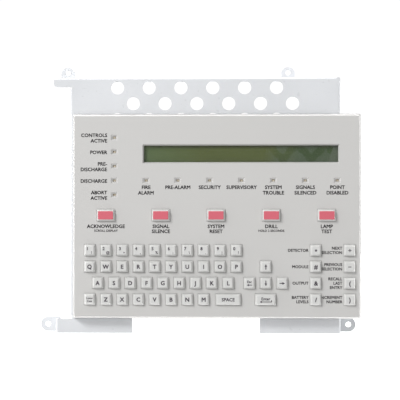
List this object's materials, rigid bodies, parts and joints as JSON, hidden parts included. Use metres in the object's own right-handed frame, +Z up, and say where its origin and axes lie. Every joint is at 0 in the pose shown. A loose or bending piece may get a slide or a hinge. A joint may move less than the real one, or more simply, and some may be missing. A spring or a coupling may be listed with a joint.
{
  "type": "fire alarm control panel",
  "caption": "Operator panel of a fire alarm control unit: moulded front with display, lamps, keys and wide buttons on a folded steel chassis with mounting ears.",
  "frame": {"origin": "midway between the two lower mounting holes, on the rear plane of the mounting ears", "axes": "+X to the operator's right, +Z up, the front of the panel faces -Y and the ears seat towards +Y"},
  "size_m": [0.2621, 0.0451, 0.2181],
  "materials": {
    "zinc_steel": "zinc plated, satin",
    "housing_plastic": "fine moulded texture",
    "key_plastic": "satin",
    "button_red": "satin",
    "clear_window": "polished",
    "bezel_black": "satin black",
    "display_green": "polished",
    "light_guide": "frosted",
    "circuit_board": "solder mask",
    "lamp_resin": "diffused resin",
    "keymat_silicone": "matt",
    "screw_steel": "zinc plated",
    "standoff_brass": "turned",
    "ribbon_grey": "ribbed",
    "connector_black": "moulded",
    "chip_black": "moulded",
    "terminal_green": "moulded",
    "relay_shell": "moulded",
    "capacitor_sleeve": "shrunk sleeve",
    "heat_sink_metal": "anodised",
    "cell_steel": "nickel plated",
    "fuse_glass": "clear tube"
  },
  "bodies": {
    "panel": {"chassis": "zinc_steel", "front_housing": "housing_plastic", "display_window": "clear_window", "display_bezel": "bezel_black", "display_cell": "display_green", "display_backlight": "light_guide", "display_board": "circuit_board", "indicator_lamps": "lamp_resin", "keymat": "keymat_silicone", "keypad_board": "circuit_board", "panel_screws": "screw_steel", "housing_screws": "screw_steel", "control_board": "circuit_board", "standoffs": "standoff_brass", "board_screws": "screw_steel", "ribbon_cables": "ribbon_grey", "ribbon_connectors": "connector_black", "processor": "chip_black", "logic_chips": "chip_black", "field_terminals": "terminal_green", "relays": "relay_shell", "capacitors": "capacitor_sleeve", "heat_sink": "heat_sink_metal", "backup_cell": "cell_steel", "cell_holder": "connector_black", "sounder": "connector_black", "fuses": "fuse_glass"},
    "key_1": {"key_1": "key_plastic"},
    "key_2": {"key_2": "key_plastic"},
    "key_3": {"key_3": "key_plastic"},
    "key_4": {"key_4": "key_plastic"},
    "key_5": {"key_5": "key_plastic"},
    "key_6": {"key_6": "key_plastic"},
    "key_7": {"key_7": "key_plastic"},
    "key_8": {"key_8": "key_plastic"},
    "key_9": {"key_9": "key_plastic"},
    "key_0": {"key_0": "key_plastic"},
    "key_case": {"key_case": "key_plastic"},
    "key_space": {"key_space": "key_plastic"},
    "key_escape": {"key_escape": "key_plastic"},
    "key_up": {"key_up": "key_plastic"},
    "key_down": {"key_down": "key_plastic"},
    "key_right": {"key_right": "key_plastic"},
    "key_enter": {"key_enter": "key_plastic"},
    "key_star": {"key_star": "key_plastic"},
    "key_hash": {"key_hash": "key_plastic"},
    "key_ampersand": {"key_ampersand": "key_plastic"},
    "key_slash": {"key_slash": "key_plastic"},
    "key_plus": {"key_plus": "key_plastic"},
    "key_minus": {"key_minus": "key_plastic"},
    "key_open_bracket": {"key_open_bracket": "key_plastic"},
    "key_close_bracket": {"key_close_bracket": "key_plastic"},
    "upper_letter_keys": {"upper_letter_keys": "key_plastic"},
    "middle_letter_keys": {"middle_letter_keys": "key_plastic"},
    "lower_letter_keys": {"lower_letter_keys": "key_plastic"},
    "button_acknowledge": {"button_acknowledge": "button_red"},
    "button_silence": {"button_silence": "button_red"},
    "button_reset": {"button_reset": "button_red"},
    "button_drill": {"button_drill": "button_red"},
    "button_lamp_test": {"button_lamp_test": "button_red"}
  },
  "joints": [
    {"name": "key_1_press", "type": "slide", "parent": "panel", "child": "key_1", "axis": [0, 1, 0], "range_m": [0, 0.0015], "stiffness_N_per_m": 400, "springref_m": -0.001},
    {"name": "key_2_press", "type": "slide", "parent": "panel", "child": "key_2", "axis": [0, 1, 0], "range_m": [0, 0.0015], "stiffness_N_per_m": 400, "springref_m": -0.001},
    {"name": "key_3_press", "type": "slide", "parent": "panel", "child": "key_3", "axis": [0, 1, 0], "range_m": [0, 0.0015], "stiffness_N_per_m": 400, "springref_m": -0.001},
    {"name": "key_4_press", "type": "slide", "parent": "panel", "child": "key_4", "axis": [0, 1, 0], "range_m": [0, 0.0015], "stiffness_N_per_m": 400, "springref_m": -0.001},
    {"name": "key_5_press", "type": "slide", "parent": "panel", "child": "key_5", "axis": [0, 1, 0], "range_m": [0, 0.0015], "stiffness_N_per_m": 400, "springref_m": -0.001},
    {"name": "key_6_press", "type": "slide", "parent": "panel", "child": "key_6", "axis": [0, 1, 0], "range_m": [0, 0.0015], "stiffness_N_per_m": 400, "springref_m": -0.001},
    {"name": "key_7_press", "type": "slide", "parent": "panel", "child": "key_7", "axis": [0, 1, 0], "range_m": [0, 0.0015], "stiffness_N_per_m": 400, "springref_m": -0.001},
    {"name": "key_8_press", "type": "slide", "parent": "panel", "child": "key_8", "axis": [0, 1, 0], "range_m": [0, 0.0015], "stiffness_N_per_m": 400, "springref_m": -0.001},
    {"name": "key_9_press", "type": "slide", "parent": "panel", "child": "key_9", "axis": [0, 1, 0], "range_m": [0, 0.0015], "stiffness_N_per_m": 400, "springref_m": -0.001},
    {"name": "key_0_press", "type": "slide", "parent": "panel", "child": "key_0", "axis": [0, 1, 0], "range_m": [0, 0.0015], "stiffness_N_per_m": 400, "springref_m": -0.001},
    {"name": "key_case_press", "type": "slide", "parent": "panel", "child": "key_case", "axis": [0, 1, 0], "range_m": [0, 0.0015], "stiffness_N_per_m": 400, "springref_m": -0.001},
    {"name": "key_space_press", "type": "slide", "parent": "panel", "child": "key_space", "axis": [0, 1, 0], "range_m": [0, 0.0015], "stiffness_N_per_m": 400, "springref_m": -0.001},
    {"name": "key_escape_press", "type": "slide", "parent": "panel", "child": "key_escape", "axis": [0, 1, 0], "range_m": [0, 0.0015], "stiffness_N_per_m": 400, "springref_m": -0.001},
    {"name": "key_up_press", "type": "slide", "parent": "panel", "child": "key_up", "axis": [0, 1, 0], "range_m": [0, 0.0015], "stiffness_N_per_m": 400, "springref_m": -0.001},
    {"name": "key_down_press", "type": "slide", "parent": "panel", "child": "key_down", "axis": [0, 1, 0], "range_m": [0, 0.0015], "stiffness_N_per_m": 400, "springref_m": -0.001},
    {"name": "key_right_press", "type": "slide", "parent": "panel", "child": "key_right", "axis": [0, 1, 0], "range_m": [0, 0.0015], "stiffness_N_per_m": 400, "springref_m": -0.001},
    {"name": "key_enter_press", "type": "slide", "parent": "panel", "child": "key_enter", "axis": [0, 1, 0], "range_m": [0, 0.0015], "stiffness_N_per_m": 400, "springref_m": -0.001},
    {"name": "key_star_press", "type": "slide", "parent": "panel", "child": "key_star", "axis": [0, 1, 0], "range_m": [0, 0.0015], "stiffness_N_per_m": 400, "springref_m": -0.001},
    {"name": "key_hash_press", "type": "slide", "parent": "panel", "child": "key_hash", "axis": [0, 1, 0], "range_m": [0, 0.0015], "stiffness_N_per_m": 400, "springref_m": -0.001},
    {"name": "key_ampersand_press", "type": "slide", "parent": "panel", "child": "key_ampersand", "axis": [0, 1, 0], "range_m": [0, 0.0015], "stiffness_N_per_m": 400, "springref_m": -0.001},
    {"name": "key_slash_press", "type": "slide", "parent": "panel", "child": "key_slash", "axis": [0, 1, 0], "range_m": [0, 0.0015], "stiffness_N_per_m": 400, "springref_m": -0.001},
    {"name": "key_plus_press", "type": "slide", "parent": "panel", "child": "key_plus", "axis": [0, 1, 0], "range_m": [0, 0.0015], "stiffness_N_per_m": 400, "springref_m": -0.001},
    {"name": "key_minus_press", "type": "slide", "parent": "panel", "child": "key_minus", "axis": [0, 1, 0], "range_m": [0, 0.0015], "stiffness_N_per_m": 400, "springref_m": -0.001},
    {"name": "key_open_bracket_press", "type": "slide", "parent": "panel", "child": "key_open_bracket", "axis": [0, 1, 0], "range_m": [0, 0.0015], "stiffness_N_per_m": 400, "springref_m": -0.001},
    {"name": "key_close_bracket_press", "type": "slide", "parent": "panel", "child": "key_close_bracket", "axis": [0, 1, 0], "range_m": [0, 0.0015], "stiffness_N_per_m": 400, "springref_m": -0.001},
    {"name": "upper_letter_keys_press", "type": "slide", "parent": "panel", "child": "upper_letter_keys", "axis": [0, 1, 0], "range_m": [0, 0.0015], "stiffness_N_per_m": 4000, "springref_m": -0.001},
    {"name": "middle_letter_keys_press", "type": "slide", "parent": "panel", "child": "middle_letter_keys", "axis": [0, 1, 0], "range_m": [0, 0.0015], "stiffness_N_per_m": 3600, "springref_m": -0.001},
    {"name": "lower_letter_keys_press", "type": "slide", "parent": "panel", "child": "lower_letter_keys", "axis": [0, 1, 0], "range_m": [0, 0.0015], "stiffness_N_per_m": 2800, "springref_m": -0.001},
    {"name": "button_acknowledge_press", "type": "slide", "parent": "panel", "child": "button_acknowledge", "axis": [0, 1, 0], "range_m": [0, 0.0015], "stiffness_N_per_m": 400, "springref_m": -0.001},
    {"name": "button_silence_press", "type": "slide", "parent": "panel", "child": "button_silence", "axis": [0, 1, 0], "range_m": [0, 0.0015], "stiffness_N_per_m": 400, "springref_m": -0.001},
    {"name": "button_reset_press", "type": "slide", "parent": "panel", "child": "button_reset", "axis": [0, 1, 0], "range_m": [0, 0.0015], "stiffness_N_per_m": 400, "springref_m": -0.001},
    {"name": "button_drill_press", "type": "slide", "parent": "panel", "child": "button_drill", "axis": [0, 1, 0], "range_m": [0, 0.0015], "stiffness_N_per_m": 400, "springref_m": -0.001},
    {"name": "button_lamp_test_press", "type": "slide", "parent": "panel", "child": "button_lamp_test", "axis": [0, 1, 0], "range_m": [0, 0.0015], "stiffness_N_per_m": 400, "springref_m": -0.001}
  ]
}
